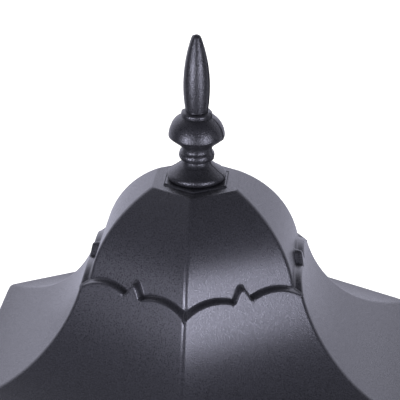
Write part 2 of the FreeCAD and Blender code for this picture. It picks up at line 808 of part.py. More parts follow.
def make_pane():
    first = (FRAME_FLANGE_T + PANE_FIT) / math.cos(lean)
    last = (FRAME_HEIGHT - PANE_FIT - pane_depth * math.sin(lean)) / math.cos(lean)
    clear = (BAR_WEB / 2 + PANE_FIT) / COS

    def half(along):
        return panel_apothem(along, -pane_depth) * TAN - clear

    return panel_plate(first, half(first), last, half(last), -FRAME_WALL, -pane_depth)


def make_bead():
    slab = corner_slab(bead_z0, bead_z1, -BEAD_W, BEAD_DEPTH, BEAD_W)
    bead = at_corner(slab).common(frame_core(bead_seat))
    for level in bead_screw_levels:
        hole = cylinder(BEAD_SCREW_R + SCREW_FIT, -CUT, BEAD_DEPTH + BEAD_W)
        bead = bead.cut(at_corner(put(hole, bead_face(level), OUT_CORNER)))
    return bead


def make_bead_screws():
    screws = []
    screw = pan_screw(BEAD_SCREW_R, bead_screw_len, BEAD_HEAD_R, BEAD_HEAD_H)
    for level in bead_screw_levels:
        placed = put(screw, bead_face(level), OUT_CORNER * -1)
        screws += round_about(at_corner(placed), PANELS)
    return screws


# Roof profile: points are apothem and height below the flat top
def circle_through(a_0, z_0, a_1, z_1, radius):
    """Centre, on the side of the axis, of the arc of a radius through two points."""
    run = a_1 - a_0
    drop = z_1 - z_0
    chord = math.hypot(run, drop)
    reach = math.sqrt(radius * radius - chord * chord / 4)
    return (a_0 + a_1) / 2 + drop / chord * reach, (z_0 + z_1) / 2 - run / chord * reach


top_a = TOP_CORNER_R * COS
foot_a = dome_foot_r * COS
dome_a, dome_z = circle_through(top_a, 0.0, foot_a, -LEDGE_DEPTH, DOME_R)
lower_a = eave_a + SKIRT_LOWER_R * math.sin(EAVE_SLOPE)
lower_z = -EAVE_DEPTH + SKIRT_LOWER_R * math.cos(EAVE_SLOPE)
join_way = math.radians(270) - EAVE_SLOPE - SKIRT_TURN
upper_a = lower_a - (SKIRT_UPPER_R - SKIRT_LOWER_R) * math.cos(join_way)
upper_z = lower_z - (SKIRT_UPPER_R - SKIRT_LOWER_R) * math.sin(join_way)
fascia_bottom = -EAVE_DEPTH - FASCIA_H


def dome_apothem(z, inset):
    return dome_a + math.sqrt((DOME_R - inset) ** 2 - (z - dome_z) ** 2)


def upper_apothem(z, inset):
    return upper_a - math.sqrt((SKIRT_UPPER_R + inset) ** 2 - (z - upper_z) ** 2)


def lower_height(a, inset):
    return lower_z - math.sqrt((SKIRT_LOWER_R + inset) ** 2 - (a - lower_a) ** 2)


def skirt_steps(top, end_a, inset):
    """Steps down the skirt from a height on its upper arc to an apothem on its lower arc."""
    join_a = upper_a + (SKIRT_UPPER_R + inset) * math.cos(join_way)
    join_z = upper_z + (SKIRT_UPPER_R + inset) * math.sin(join_way)
    upper_mid = (top + join_z) / 2
    lower_mid = (join_a + end_a) / 2
    return [
        (upper_apothem(upper_mid, inset), upper_mid, join_a, join_z),
        (lower_mid, lower_height(lower_mid, inset), end_a, lower_height(end_a, inset)),
    ]


def ridge_edges(solid):
    """Edges where two panels of a mitred solid meet: both ends lie on one corner plane."""
    found = []
    for edge in solid.Edges:
        spots = [edge.valueAt(edge.FirstParameter), edge.valueAt(edge.LastParameter)]
        spots.append(edge.valueAt((edge.FirstParameter + edge.LastParameter) / 2))
        on_corner = True
        for spot in spots:
            turn = math.degrees(math.atan2(spot.y, spot.x)) - STEP / 2
            on_corner = on_corner and abs(turn - STEP * round(turn / STEP)) < 1e-4
        if on_corner and abs(spots[0].z - spots[1].z) > RIDGE_ROUND:
            found.append(edge)
    return found


skirt_reach = 2 * EAVE_CORNER_R
tooth_top = -LEDGE_DEPTH + TOOTH_H


def make_dome():
    middle = -LEDGE_DEPTH / 2
    under = -LEDGE_DEPTH - LEDGE_BACK
    dome = mitred((0, 0), [
        (top_a, 0),
        (dome_apothem(middle, 0), middle, foot_a, -LEDGE_DEPTH),
        (foot_a, under),
        (0, under),
    ], skirt_reach)
    slopes = [edge for edge in ridge_edges(dome) if edge.BoundBox.ZMax > middle]
    dome = dome.makeFillet(RIDGE_ROUND, slopes)
    rim = [edge for edge in dome.Edges if edge.BoundBox.ZMin > -TOP_ROUND / 2]
    return dome.makeFillet(TOP_ROUND, rim)


def make_skirt_block():
    top = tooth_top + CUT
    skirt = mitred((0, top), [
        (upper_apothem(top, 0), top),
    ] + skirt_steps(top, eave_a, 0) + [
        (eave_a, fascia_bottom),
        (0, fascia_bottom),
    ], skirt_reach)
    slopes = [edge for edge in ridge_edges(skirt) if edge.BoundBox.ZMax > RIDGE_ROUND - EAVE_DEPTH]
    skirt = skirt.makeFillet(RIDGE_ROUND, slopes)
    return skirt.common(rounded_hex_prism(eave_a, fascia_bottom - CUT, CUT, EAVE_PLAN_ROUND))


def scallop_cutter():
    """What is cut away above the ledge of the panel that faces +X, limited to that panel."""
    ledge = -LEDGE_DEPTH
    ridge_t = foot_a * TAN
    peak_t = ridge_t * SCALLOP_PEAK
    span = ridge_t - peak_t
    arch_r = (span ** 2 + SCALLOP_RISE ** 2) / (2 * SCALLOP_RISE)
    fall = span / (arch_r - SCALLOP_RISE)
    drop = arch_r - math.sqrt(arch_r ** 2 - (peak_t - TOOTH_HALF_W) ** 2)
    tooth_foot = ledge + SCALLOP_RISE - drop
    far = eave_a
    far_z = ledge - (far - ridge_t) * fall
    side = math.atan2(TOOTH_HALF_W, tooth_top - tooth_foot)
    tip_t = TOOTH_TIP_R * math.cos(side)
    tip_z = tooth_top - tip_t / math.tan(side)
    tip_top = tooth_top - TOOTH_TIP_R * (1 / math.sin(side) - 1)
    steps = [
        (-ridge_t, ledge),
        (-peak_t, ledge + SCALLOP_RISE, -TOOTH_HALF_W, tooth_foot),
        (-tip_t, tip_z),
        (0, tip_top, tip_t, tip_z),
        (TOOTH_HALF_W, tooth_foot),
        (peak_t, ledge + SCALLOP_RISE, ridge_t, ledge),
        (far, far_z),
        (far, CUT),
        (-far, CUT),
    ]
    face = section((-far, far_z), steps)
    face.rotate(V(0, 0, 0), UP, 90)
    back = TOP_CORNER_R / 2
    out = upper_apothem(-LEDGE_DEPTH - SCALLOP_RISE, 0) - foot_a + back
    face.translate(V(foot_a - back, 0, back * math.tan(LEDGE_SLOPE)))
    slab = face.extrude(V(back + out, 0, -(back + out) * math.tan(LEDGE_SLOPE)))
    wide = 2 * eave_a
    wedge = Part.Face(Part.makePolygon([V(0, 0, -EAVE_CORNER_R), V(wide, -wide * TAN, -EAVE_CORNER_R),
                                        V(wide, wide * TAN, -EAVE_CORNER_R), V(0, 0, -EAVE_CORNER_R)]))
    return slab.common(wedge.extrude(V(0, 0, 2 * EAVE_CORNER_R)))


def make_hollow():
    """The inside of the roof, a wall thickness in from its outside."""
    step_0 = -LEDGE_DEPTH - LEDGE_BACK
    step_1 = step_0 - LEDGE_BACK
    middle = (step_0 - TOP_T) / 2
    inner_a = eave_a - FASCIA_T
    return mitred((0, -TOP_T), [
        (dome_apothem(-TOP_T, ROOF_WALL), -TOP_T),
        (dome_apothem(middle, ROOF_WALL), middle, dome_apothem(step_0, ROOF_WALL), step_0),
        (upper_apothem(step_1, ROOF_WALL), step_1),
    ] + skirt_steps(step_1, inner_a, ROOF_WALL) + [
        (inner_a, fascia_bottom - CUT),
        (0, fascia_bottom - CUT),
    ], skirt_reach)


stud_hole_top = lower_height(roof_stud_at, 0) - ROOF_BOSS_SKIN


def make_roof():
    skirt = make_skirt_block()
    for cutter in round_about(scallop_cutter(), PANELS):
        skirt = skirt.cut(cutter)
    plinth = hex_prism(PLINTH_CORNER_R * COS, -TOP_T / 2, PLINTH_H)
    outside = make_dome().fuse(skirt).fuse(plinth)
    roof = outside.cut(make_hollow())
    boss = cylinder(ROOF_BOSS_R, -ROOF_SEAT_DEPTH, -EAVE_DEPTH / 2, roof_stud_at)
    for placed in round_about(boss, ROOF_STUD_COUNT):
        roof = roof.fuse(placed.common(outside))
    roof = roof.removeSplitter()
    drilled = cylinder(ROOF_STUD_R + SCREW_FIT, fascia_bottom, stud_hole_top, roof_stud_at)
    for hole in round_about(drilled, ROOF_STUD_COUNT):
        roof = roof.cut(hole)
    roof = roof.cut(cylinder(FINIAL_STUD_R + SCREW_FIT, -TOP_T - CUT, PLINTH_H + CUT))
    roof.translate(V(0, 0, roof_top))
    return roof


# Fasteners of the roof: studs in its bosses, with washers and cap nuts under the frame's ring
roof_nut_top = frame_top - WASHER_T
roof_nut_bottom = roof_nut_top - ROOF_NUT_H


def make_roof_studs():
    stud = cylinder(ROOF_STUD_R, roof_nut_bottom, roof_top + stud_hole_top - SCREW_FIT, roof_stud_at)
    return round_about(stud, ROOF_STUD_COUNT)


def make_roof_washers():
    washer = cylinder(ROOF_WASHER_R, roof_nut_top, frame_top, roof_stud_at)
    washer = washer.cut(cylinder(ROOF_STUD_R + SCREW_FIT, roof_nut_top - CUT, frame_top + CUT, roof_stud_at))
    return round_about(washer, ROOF_STUD_COUNT)


def make_roof_nuts():
    nut = hex_prism(ROOF_NUT_APOTHEM, roof_nut_bottom, roof_nut_top)
    cap = turned((0, roof_nut_bottom), [
        (ROOF_NUT_CAP_R, roof_nut_bottom),
        round_end(ROOF_NUT_CAP_R, roof_nut_bottom, -ROOF_NUT_CAP_H),
    ])
    nut = nut.fuse(cap).removeSplitter()
    nut = nut.cut(cylinder(ROOF_STUD_R + SCREW_FIT, roof_nut_bottom - SCREW_END_FIT, roof_nut_top + CUT))
    nut.translate(V(roof_stud_at, 0, 0))
    return round_about(nut, ROOF_STUD_COUNT)


# Finial: one turned piece on the roof's plinth
def bend(r_0, h_0, r_1, h_1, share):
    """Step of a turned outline: an arc to a point, its middle at shares of the run and the height."""
    return r_0 + (r_1 - r_0) * share[0], h_0 + (h_1 - h_0) * share[1], r_1, h_1


def make_finial():
    bell_top = FINIAL_BELL_H
    ring_top_h = bell_top + FINIAL_RING_H
    neck_top = ring_top_h + FINIAL_NECK_H
    widest = neck_top + FINIAL_BULB_DROP
    bulb_top = widest + FINIAL_BULB_RISE
    collar_top = bulb_top + FINIAL_COLLAR_H
    spear_max = collar_top + FINIAL_SPEAR_LOWER
    tip = spear_max + FINIAL_SPEAR_UPPER
    body = turned((0, 0), [
        (FINIAL_FOOT_R, 0),
        (FINIAL_RIM_R, FINIAL_RIM_FACE, FINIAL_SHOULDER_R, FINIAL_RIM_H),
        bend(FINIAL_SHOULDER_R, FINIAL_RIM_H, FINIAL_WAIST_R, FINIAL_WAIST_H, SHOULDER_BEND),
        bend(FINIAL_WAIST_R, FINIAL_WAIST_H, FINIAL_BELL_R, bell_top, BELL_BEND),
        (FINIAL_RING_R, bell_top + FINIAL_RING_H / 2, FINIAL_RING_TOP_R, ring_top_h),
        (FINIAL_NECK_R, ring_top_h + FINIAL_NECK_H * NECK_BEND, FINIAL_UNDER_R, neck_top),
        bend(FINIAL_UNDER_R, neck_top, FINIAL_BULB_R, widest, BULB_UNDER_BEND),
        bend(FINIAL_BULB_R, widest, FINIAL_BULB_TOP_R, bulb_top, BULB_OVER_BEND),
        (FINIAL_COLLAR_R - COLLAR_STEP_R, bulb_top + COLLAR_STEP_H),
        (FINIAL_COLLAR_R, bulb_top + FINIAL_COLLAR_H * COLLAR_BEND, FINIAL_SPEAR_BASE_R, collar_top),
        bend(FINIAL_SPEAR_BASE_R, collar_top, FINIAL_SPEAR_R, spear_max, SPEAR_LOWER_BEND),
        bend(FINIAL_SPEAR_R, spear_max, FINIAL_TIP_R, tip, SPEAR_UPPER_BEND),
        round_end(FINIAL_TIP_R, tip, FINIAL_TIP_H),
    ])
    body = body.cut(cylinder(SEAL_R + SCREW_FIT, -CUT, SEAL_T))
    body = body.cut(cylinder(FINIAL_STUD_R + SCREW_FIT, -CUT, FINIAL_STUD_DEPTH))
    body.translate(V(0, 0, finial_foot))
    return body


def make_finial_seal():
    seal = cylinder(SEAL_R, finial_foot, finial_foot + SEAL_T)
    return seal.cut(cylinder(FINIAL_STUD_R + SCREW_FIT, finial_foot - CUT, finial_foot + SEAL_T + CUT))


# Finial fastening, under the roof's flat top
roof_ceiling = roof_top - TOP_T
finial_nut_top = roof_ceiling - FINIAL_WASHER_T
finial_nut_bottom = finial_nut_top - FINIAL_NUT_H
finial_stud_hole = FINIAL_STUD_R + SCREW_FIT


def make_finial_stud():
    end = finial_foot + FINIAL_STUD_DEPTH - SCREW_END_FIT
    return cylinder(FINIAL_STUD_R, finial_nut_bottom - FINIAL_STUD_OVER, end)


def make_finial_washer():
    washer = cylinder(FINIAL_WASHER_R, finial_nut_top, roof_ceiling)
    return washer.cut(cylinder(finial_stud_hole, finial_nut_top - CUT, roof_ceiling + CUT))


def make_finial_nut():
    nut = hex_prism(FINIAL_NUT_APOTHEM, finial_nut_bottom, finial_nut_top)
    return nut.cut(cylinder(finial_stud_hole, finial_nut_bottom - CUT, finial_nut_top + CUT))


def make_post():
    tube = cylinder(POST_R, post_bottom, post_top)
    return tube.cut(cylinder(POST_R - POST_WALL, post_bottom - CUT, post_top + CUT))


# Radii of the outer faces that the set screws end in
base_neck_foot = BASE_WAIST_H + BASE_BEAD_H
base_neck_fall = (BASE_NECK_R - BASE_TOP_R) / (BASE_HEIGHT - BASE_TOP_BEAD_H - base_neck_foot)
base_screw_face = BASE_NECK_R - (base_screw_h - base_neck_foot) * base_neck_fall - SET_SCREW_SINK
dish_screw_face = dish_socket_r - SET_SCREW_SINK

save("base", make_base())
save("base_set_screws", *radial_set_screws(BASE_SCREW_R, base_screw_face, base_screw_h))
save("post", make_post())
save("lantern_dish", make_dish())
save("dish_set_screws", *radial_set_screws(DISH_SCREW_R, dish_screw_face, dish_screw_h))
save("cable_grommet", make_grommet())
save("terminal_block", make_terminal_block())
save("terminal_screw", make_terminal_screw())
save("earth_screw", make_earth_screw())
save("holder_bracket", make_bracket())
save("bracket_screws", *make_bracket_screws())
save("lamp_holder", make_holder())
save("holder_shell", make_shell())
save("holder_contact", make_contact())
save("holder_rivet", make_rivet())
save("light_bulb", make_bulb())
save("dish_gasket", make_gasket())
save("frame_screws", *make_frame_screws())
save("lantern_frame", make_frame())
for number, pane in enumerate(round_about(make_pane(), PANELS), 1):
    save("glass_pane_%d" % number, pane)
for number, bead in enumerate(round_about(make_bead(), PANELS), 1):
    save("glazing_bead_%d" % number, bead)
save("bead_screws", *make_bead_screws())
save("roof", make_roof())
save("roof_studs", *make_roof_studs())
save("roof_washers", *make_roof_washers())
save("roof_nuts", *make_roof_nuts())
save("finial", make_finial())
save("finial_seal", make_finial_seal())
save("finial_stud", make_finial_stud())
save("finial_washer", make_finial_washer())
save("finial_nut", make_finial_nut())
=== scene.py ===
import json
import math

import bmesh
import bpy
from mathutils import Matrix, Quaternion, Vector


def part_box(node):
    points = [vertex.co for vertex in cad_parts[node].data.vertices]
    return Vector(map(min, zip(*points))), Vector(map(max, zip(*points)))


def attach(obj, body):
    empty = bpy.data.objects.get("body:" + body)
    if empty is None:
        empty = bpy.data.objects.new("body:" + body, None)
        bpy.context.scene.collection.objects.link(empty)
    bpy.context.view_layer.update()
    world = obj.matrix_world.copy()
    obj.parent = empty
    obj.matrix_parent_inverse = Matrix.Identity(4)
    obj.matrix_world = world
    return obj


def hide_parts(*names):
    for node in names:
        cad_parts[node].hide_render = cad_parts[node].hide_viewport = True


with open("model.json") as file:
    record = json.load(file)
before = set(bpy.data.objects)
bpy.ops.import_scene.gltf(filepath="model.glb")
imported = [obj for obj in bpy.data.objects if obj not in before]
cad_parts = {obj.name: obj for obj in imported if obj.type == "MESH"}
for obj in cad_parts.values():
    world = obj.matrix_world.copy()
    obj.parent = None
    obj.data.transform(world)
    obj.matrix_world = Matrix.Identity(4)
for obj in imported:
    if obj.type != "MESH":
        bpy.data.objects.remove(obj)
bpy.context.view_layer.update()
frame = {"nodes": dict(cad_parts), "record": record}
nodes = frame["nodes"]

MM = 0.001
PANELS = 6
HALF = math.pi / PANELS
COS = math.cos(HALF)
TAN = math.tan(HALF)
PLINTH_H = 0.7
ROOF_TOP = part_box("roof")[1].z / MM - PLINTH_H
FINIAL_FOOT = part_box("finial")[0].z / MM

# Roof sizes in millimetres: apothems and depths below its flat top
PLINTH_A = 15.1 * COS
TOP_A = 20.7 * COS
FOOT_A = 49.8 * COS
EAVE_CORNER_R = 110.0
EAVE_A = EAVE_CORNER_R * COS
DOME_R = 53.7
LEDGE_DEPTH = 37.3
LEDGE_FALL = math.tan(math.radians(12.0))
SCALLOP_RISE = 2.95
SCALLOP_PEAK = 0.54
TOOTH_HALF_W = 4.0
TOOTH_H = 7.7
TOOTH_TIP_R = 1.9
SKIRT_UPPER_R = 65.2
SKIRT_LOWER_R = 51.2
SKIRT_TURN = math.radians(40.4)
EAVE_SLOPE = math.radians(5.0)
EAVE_DEPTH = 82.8
EAVE_PLAN_ROUND = 5.0
FASCIA_H = 6.5
FASCIA_T = 3.0
ROOF_WALL = 2.5
TOP_T = 3.0
LEDGE_BACK = 4.5
RIDGE_ROUND = 2.6
PLINTH_RIDGE = 0.2
TOP_ROUND = 2.0
EDGE_ROUND = 0.7
EDGE_ANGLE = math.radians(28.0)
EDGE_SEGMENTS = 3
STUD_HOLE_R = 3.1
BOSS_R = 5.0
BOSS_HOLE_R = 2.1
BOSS_SKIN = 1.3
BOSS_SEAT = 85.8
BOSS_COUNT = 3
BOSS_SIDES = 24
ROOF_STUD_R = 2.0
BOSS_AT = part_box("roof_studs")[1].x / MM - ROOF_STUD_R


# Mesh helpers; points nearer than SAME_SPOT are one
SAME_SPOT = 1e-4


def new_piece(name, mesh_builder, slot_name, *replaced):
    """A mesh from a builder that works in millimetres.

    It rides on the lamp and stands for the CAD nodes that it replaces.
    """
    made = bmesh.new()
    mesh_builder(made)
    bmesh.ops.remove_doubles(made, verts=made.verts, dist=SAME_SPOT)
    bmesh.ops.recalc_face_normals(made, faces=made.faces)
    bmesh.ops.scale(made, vec=(MM, MM, MM), verts=made.verts)
    mesh = bpy.data.meshes.new(name)
    made.to_mesh(mesh)
    made.free()
    mesh.shade_smooth()
    obj = bpy.data.objects.new(name, mesh)
    bpy.context.scene.collection.objects.link(obj)
    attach(obj, "root")
    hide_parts(*replaced)
    return obj


def add_face(made, points):
    """A face through points, without those that fall together."""
    kept = []
    for point in points:
        if not kept or (point - kept[-1]).length > SAME_SPOT:
            kept.append(point)
    if len(kept) > 1 and (kept[0] - kept[-1]).length < SAME_SPOT:
        kept.pop()
    if len(kept) > 2:
        made.faces.new([made.verts.new(point) for point in kept])


def add_grid(made, rows):
    """Faces between rows of points that all have the same count."""
    for upper, lower in zip(rows, rows[1:]):
        for index in range(len(upper) - 1):
            add_face(made, [upper[index], upper[index + 1], lower[index + 1], lower[index]])


def soften(obj, width, angle):
    """Rounds the edges of a mesh that are sharper than an angle."""
    bevel = obj.modifiers.new("edges", "BEVEL")
    bevel.width = width * MM
    bevel.segments = EDGE_SEGMENTS
    bevel.limit_method = "ANGLE"
    bevel.angle_limit = angle
    bevel.use_clamp_overlap = False
    bevel.miter_outer = "MITER_ARC"
    weighted = obj.modifiers.new("normals", "WEIGHTED_NORMAL")
    weighted.keep_sharp = False
    weighted.weight = 60


def spread(start, end, count):
    """Values at even steps from one to another, both included."""
    return [start + (end - start) * index / count for index in range(count + 1)]


# Roof profile
def dome_centre():
    """Centre of the dome's arc through the edge of the flat top and the foot."""
    run = FOOT_A - TOP_A
    chord = math.hypot(run, LEDGE_DEPTH)
    reach = math.sqrt(DOME_R * DOME_R - chord * chord / 4)
    middle_a = (TOP_A + FOOT_A) / 2
    return middle_a - LEDGE_DEPTH / chord * reach, -LEDGE_DEPTH / 2 - run / chord * reach


DOME_A, DOME_Z = dome_centre()
LOWER_A = EAVE_A + SKIRT_LOWER_R * math.sin(EAVE_SLOPE)
LOWER_Z = -EAVE_DEPTH + SKIRT_LOWER_R * math.cos(EAVE_SLOPE)
JOIN = math.radians(270) - EAVE_SLOPE - SKIRT_TURN
UPPER_A = LOWER_A - (SKIRT_UPPER_R - SKIRT_LOWER_R) * math.cos(JOIN)
UPPER_Z = LOWER_Z - (SKIRT_UPPER_R - SKIRT_LOWER_R) * math.sin(JOIN)
FASCIA_Z = -EAVE_DEPTH - FASCIA_H
FLAT_A = DOME_A + math.sqrt((DOME_R - TOP_ROUND) ** 2 - (TOP_ROUND + DOME_Z) ** 2)
DOME_FIRST = math.atan2(-TOP_ROUND - DOME_Z, FLAT_A - DOME_A)


def dome_apothem(z, inset=0.0):
    return DOME_A + math.sqrt((DOME_R - inset) ** 2 - (z - DOME_Z) ** 2)


def upper_apothem(z):
    return UPPER_A - math.sqrt(SKIRT_UPPER_R ** 2 - (z - UPPER_Z) ** 2)


def lower_height(a):
    return LOWER_Z - math.sqrt(SKIRT_LOWER_R ** 2 - (a - LOWER_A) ** 2)


def skirt_profile(top, inset, end_a, upper_count, lower_count):
    """Apothems and heights down the skirt's two arcs, from a height to an apothem."""
    upper_r = SKIRT_UPPER_R + inset
    lower_r = SKIRT_LOWER_R + inset
    first = math.pi - math.asin((top - UPPER_Z) / upper_r)
    last = math.pi + math.acos((LOWER_A - end_a) / lower_r)
    points = []
    for angle in spread(first, JOIN, upper_count):
        points.append((UPPER_A + upper_r * math.cos(angle), UPPER_Z + upper_r * math.sin(angle)))
    for angle in spread(JOIN, last, lower_count)[1:]:
        points.append((LOWER_A + lower_r * math.cos(angle), LOWER_Z + lower_r * math.sin(angle)))
    return points


# Scalloped ledge between dome and skirt
RIDGE_T = FOOT_A * TAN
ARCH_T = RIDGE_T * SCALLOP_PEAK
ARCH_SPAN = RIDGE_T - ARCH_T
ARCH_R = (ARCH_SPAN ** 2 + SCALLOP_RISE ** 2) / (2 * SCALLOP_RISE)
CORNER_FALL = ARCH_SPAN / (ARCH_R - SCALLOP_RISE)
TOOTH_FOOT = SCALLOP_RISE - ARCH_R + math.sqrt(ARCH_R ** 2 - (ARCH_T - TOOTH_HALF_W) ** 2)
TOOTH_SIDE = math.atan2(TOOTH_HALF_W, TOOTH_H - TOOTH_FOOT)
TIP_T = TOOTH_TIP_R * math.cos(TOOTH_SIDE)
TIP_CENTRE = TOOTH_H - TOOTH_TIP_R / math.sin(TOOTH_SIDE)
TIP_COLUMNS = 7
TOOTH_COLUMNS = 5
ARCH_COLUMNS = 22
ARCH_END_GAP = 1.0
CORNER_COLUMNS = 5
HALVINGS = 50


def ledge_line(t):
    """Height of the scalloped line, at the dome's foot, at a distance from the panel's middle."""
    t = abs(t)
    if t < TIP_T:
        rise = TIP_CENTRE + math.sqrt(TOOTH_TIP_R ** 2 - t * t)
    elif t < TOOTH_HALF_W:
        rise = TOOTH_FOOT + (TOOTH_HALF_W - t) / math.tan(TOOTH_SIDE)
    elif t < RIDGE_T:
        rise = math.sqrt(ARCH_R ** 2 - (t - ARCH_T) ** 2) - ARCH_R + SCALLOP_RISE
    else:
        rise = -(t - RIDGE_T) * CORNER_FALL
    return rise - LEDGE_DEPTH


def ledge_height(a, t):
    return ledge_line(t) - (a - FOOT_A) * LEDGE_FALL


def solve(function, low, high):
    """Where a function that rises from below zero passes zero."""
    for _ in range(HALVINGS):
        middle = (low + high) / 2
        if function(middle) < 0:
            low = middle
        else:
            high = middle
    return (low + high) / 2


def ledge_columns():
    """Distances from a panel's middle at which the ledge is cut into columns, on one side."""
    tip_turns = spread(0, math.pi / 2 - TOOTH_SIDE, TIP_COLUMNS)
    tip = [TOOTH_TIP_R * math.sin(angle) for angle in tip_turns]
    side = spread(TIP_T, TOOTH_HALF_W, TOOTH_COLUMNS)[1:]
    arch_end = (FOOT_A - RIDGE_ROUND) * TAN - ARCH_END_GAP
    arch = spread(TOOTH_HALF_W, arch_end, ARCH_COLUMNS)[1:]
    return tip + side + arch


def panel_place(a, t, z, panel):
    """Point of a panel, from its distance out, distance across and height."""
    angle = panel * 2 * HALF
    x = a * math.cos(angle) - t * math.sin(angle)
    y = a * math.sin(angle) + t * math.cos(angle)
    return Vector((x, y, ROOF_TOP + z))


class Column:
    """A line down a panel: a share of its flat width, or an angle round its corner."""

    def __init__(self, share, turn=0.0):
        self.share = share
        self.turn = turn

    def at(self, a, ridge=RIDGE_ROUND):
        """Distance out and distance across where the panel has an apothem."""
        flat = a - ridge
        side = math.copysign(1.0, self.share)
        out = flat + ridge * math.cos(self.turn)
        across = self.share * flat * TAN + side * ridge * math.sin(self.turn)
        return out, across


def dome_point(column, z):
    return (*column.at(dome_apothem(z)), z)


def skirt_point(column, z):
    return (*column.at(upper_apothem(z)), z)


def above_ledge(point):
    return point[2] - ledge_height(point[0], point[1])


# Heights between which a column is searched for the ledge
SEARCH_TOP = -20.0
DOME_SEARCH_END = -LEDGE_DEPTH - 3.0
SKIRT_SEARCH_END = -48.0


def dome_end(column):
    """Height at which a column of the dome meets the ledge."""
    return solve(lambda z: above_ledge(dome_point(column, z)), DOME_SEARCH_END, SEARCH_TOP)


def skirt_start(column):
    """Height at which a column of the skirt meets the ledge."""
    return solve(lambda z: above_ledge(skirt_point(column, z)), SKIRT_SEARCH_END, SEARCH_TOP)


def inner_column(t):
    """Column of the dome that meets the ledge at a distance from the panel's middle."""
    def apart(z):
        return z - ledge_height(dome_apothem(z), t)
    z = solve(apart, DOME_SEARCH_END, SEARCH_TOP)
    return Column(t / ((dome_apothem(z) - RIDGE_ROUND) * TAN))


def outer_column(t):
    """Column of the skirt that meets the ledge at a distance from the panel's middle."""
    def apart(z):
        return z - ledge_height(upper_apothem(z), t)
    z = solve(apart, SKIRT_SEARCH_END, SEARCH_TOP)
    return Column(t / ((upper_apothem(z) - RIDGE_ROUND) * TAN))


def mirrored(columns):
    """Columns of one side, with the other side before them."""
    return [Column(-column.share, column.turn) for column in reversed(columns[1:])] + columns


def eave_limit(column):
    """Apothem at which a column reaches the rounded outline of the eave."""
    centre = EAVE_A - EAVE_PLAN_ROUND

    def past(a):
        out, across = column.at(a)
        across = abs(across)
        if across <= centre * TAN:
            return out - EAVE_A
        return math.hypot(out - centre, across - centre * TAN) - EAVE_PLAN_ROUND

    return solve(past, EAVE_A - EAVE_PLAN_ROUND, EAVE_A + EAVE_PLAN_ROUND)


TOP_ROWS = 5
DOME_ROWS = 30
LEDGE_ROWS = 3
UPPER_ROWS = 18
LOWER_ROWS = 24
INNER_ROWS = 12


def round_spot(radius, point):
    """Where a circle about the axis lies in the direction of a point."""
    angle = math.atan2(point[1], point[0])
    return radius * math.cos(angle), radius * math.sin(angle)


def build_roof(made):
    """Six mitred panels outside, six plain ones inside, and the bosses for the studs."""
    spots = ledge_columns()
    corner = [Column(1.0, turn) for turn in spread(0.0, HALF, CORNER_COLUMNS)]
    inner = mirrored([inner_column(t) for t in spots] + corner)
    outer = mirrored([outer_column(t) for t in spots] + corner)
    inner_z = [dome_end(column) for column in inner]
    outer_z = [skirt_start(column) for column in outer]
    inner_ends = [dome_point(column, z) for column, z in zip(inner, inner_z)]
    outer_ends = [skirt_point(column, z) for column, z in zip(outer, outer_z)]

    # Rows of (out, across, height) for one panel
    top_rows = []
    for angle in spread(math.pi / 2, DOME_FIRST, TOP_ROWS):
        a = FLAT_A + TOP_ROUND * math.cos(angle)
        z = TOP_ROUND * (math.sin(angle) - 1)
        top_rows.append([(*column.at(a), z) for column in inner])
    plinth_low = [(*column.at(PLINTH_A, PLINTH_RIDGE), 0.0) for column in inner]
    plinth_high = [(*column.at(PLINTH_A, PLINTH_RIDGE), PLINTH_H) for column in inner]
    bore = [(*round_spot(STUD_HOLE_R, point), -TOP_T) for point in plinth_low]
    rim = [(out, across, PLINTH_H) for out, across, _ in bore]
    flat_rows = [bore, rim, plinth_high, plinth_low] + top_rows

    def dome_row(share):
        row = []
        for column, end in zip(inner, inner_z):
            last_angle = math.asin((end - DOME_Z) / DOME_R)
            angle = DOME_FIRST + (last_angle - DOME_FIRST) * share
            row.append(dome_point(column, DOME_Z + DOME_R * math.sin(angle)))
        return row

    dome_rows = [dome_row(share) for share in spread(0.0, 1.0, DOME_ROWS)]

    def ledge_row(share):
        row = []
        for near, far in zip(inner_ends, outer_ends):
            out = near[0] + (far[0] - near[0]) * share
            across = near[1] + (far[1] - near[1]) * share
            row.append((out, across, ledge_height(out, across)))
        return row

    ledge_rows = [ledge_row(share) for share in spread(0.0, 1.0, LEDGE_ROWS)]
    profiles = []
    for column, start in zip(outer, outer_z):
        limit = eave_limit(column)
        line = skirt_profile(start, 0.0, limit, UPPER_ROWS, LOWER_ROWS)
        profiles.append([(*column.at(a), z) for a, z in line])
    skirt_rows = [list(row) for row in zip(*profiles)]
    fascia_low = [(point[0], point[1], FASCIA_Z) for point in skirt_rows[-1]]
    skirt_rows.append(fascia_low)

    # Inside, a wall thickness in
    step_high = -LEDGE_DEPTH - LEDGE_BACK
    step_low = step_high - LEDGE_BACK
    inner_a = EAVE_A - FASCIA_T
    inside = [(inner_a, FASCIA_Z)]
    inside += reversed(skirt_profile(step_low, ROOF_WALL, inner_a, INNER_ROWS, INNER_ROWS))
    for z in spread(step_high, -TOP_T, INNER_ROWS):
        inside.append((dome_apothem(z, ROOF_WALL), z))
    inside_rows = [[(a, -a * TAN, z), (a, a * TAN, z)] for a, z in inside]

    for panel in range(PANELS):
        def placed(row):
            return [panel_place(*point, panel) for point in row]
        for rows in (flat_rows, dome_rows, ledge_rows, skirt_rows, inside_rows):
            add_grid(made, [placed(row) for row in rows])
        add_face(made, placed(fascia_low) + placed(reversed(inside_rows[0])))
        add_face(made, placed(inside_rows[-1]) + placed(reversed(bore)))
    for panel in range(0, PANELS, PANELS // BOSS_COUNT):
        add_boss(made, panel)


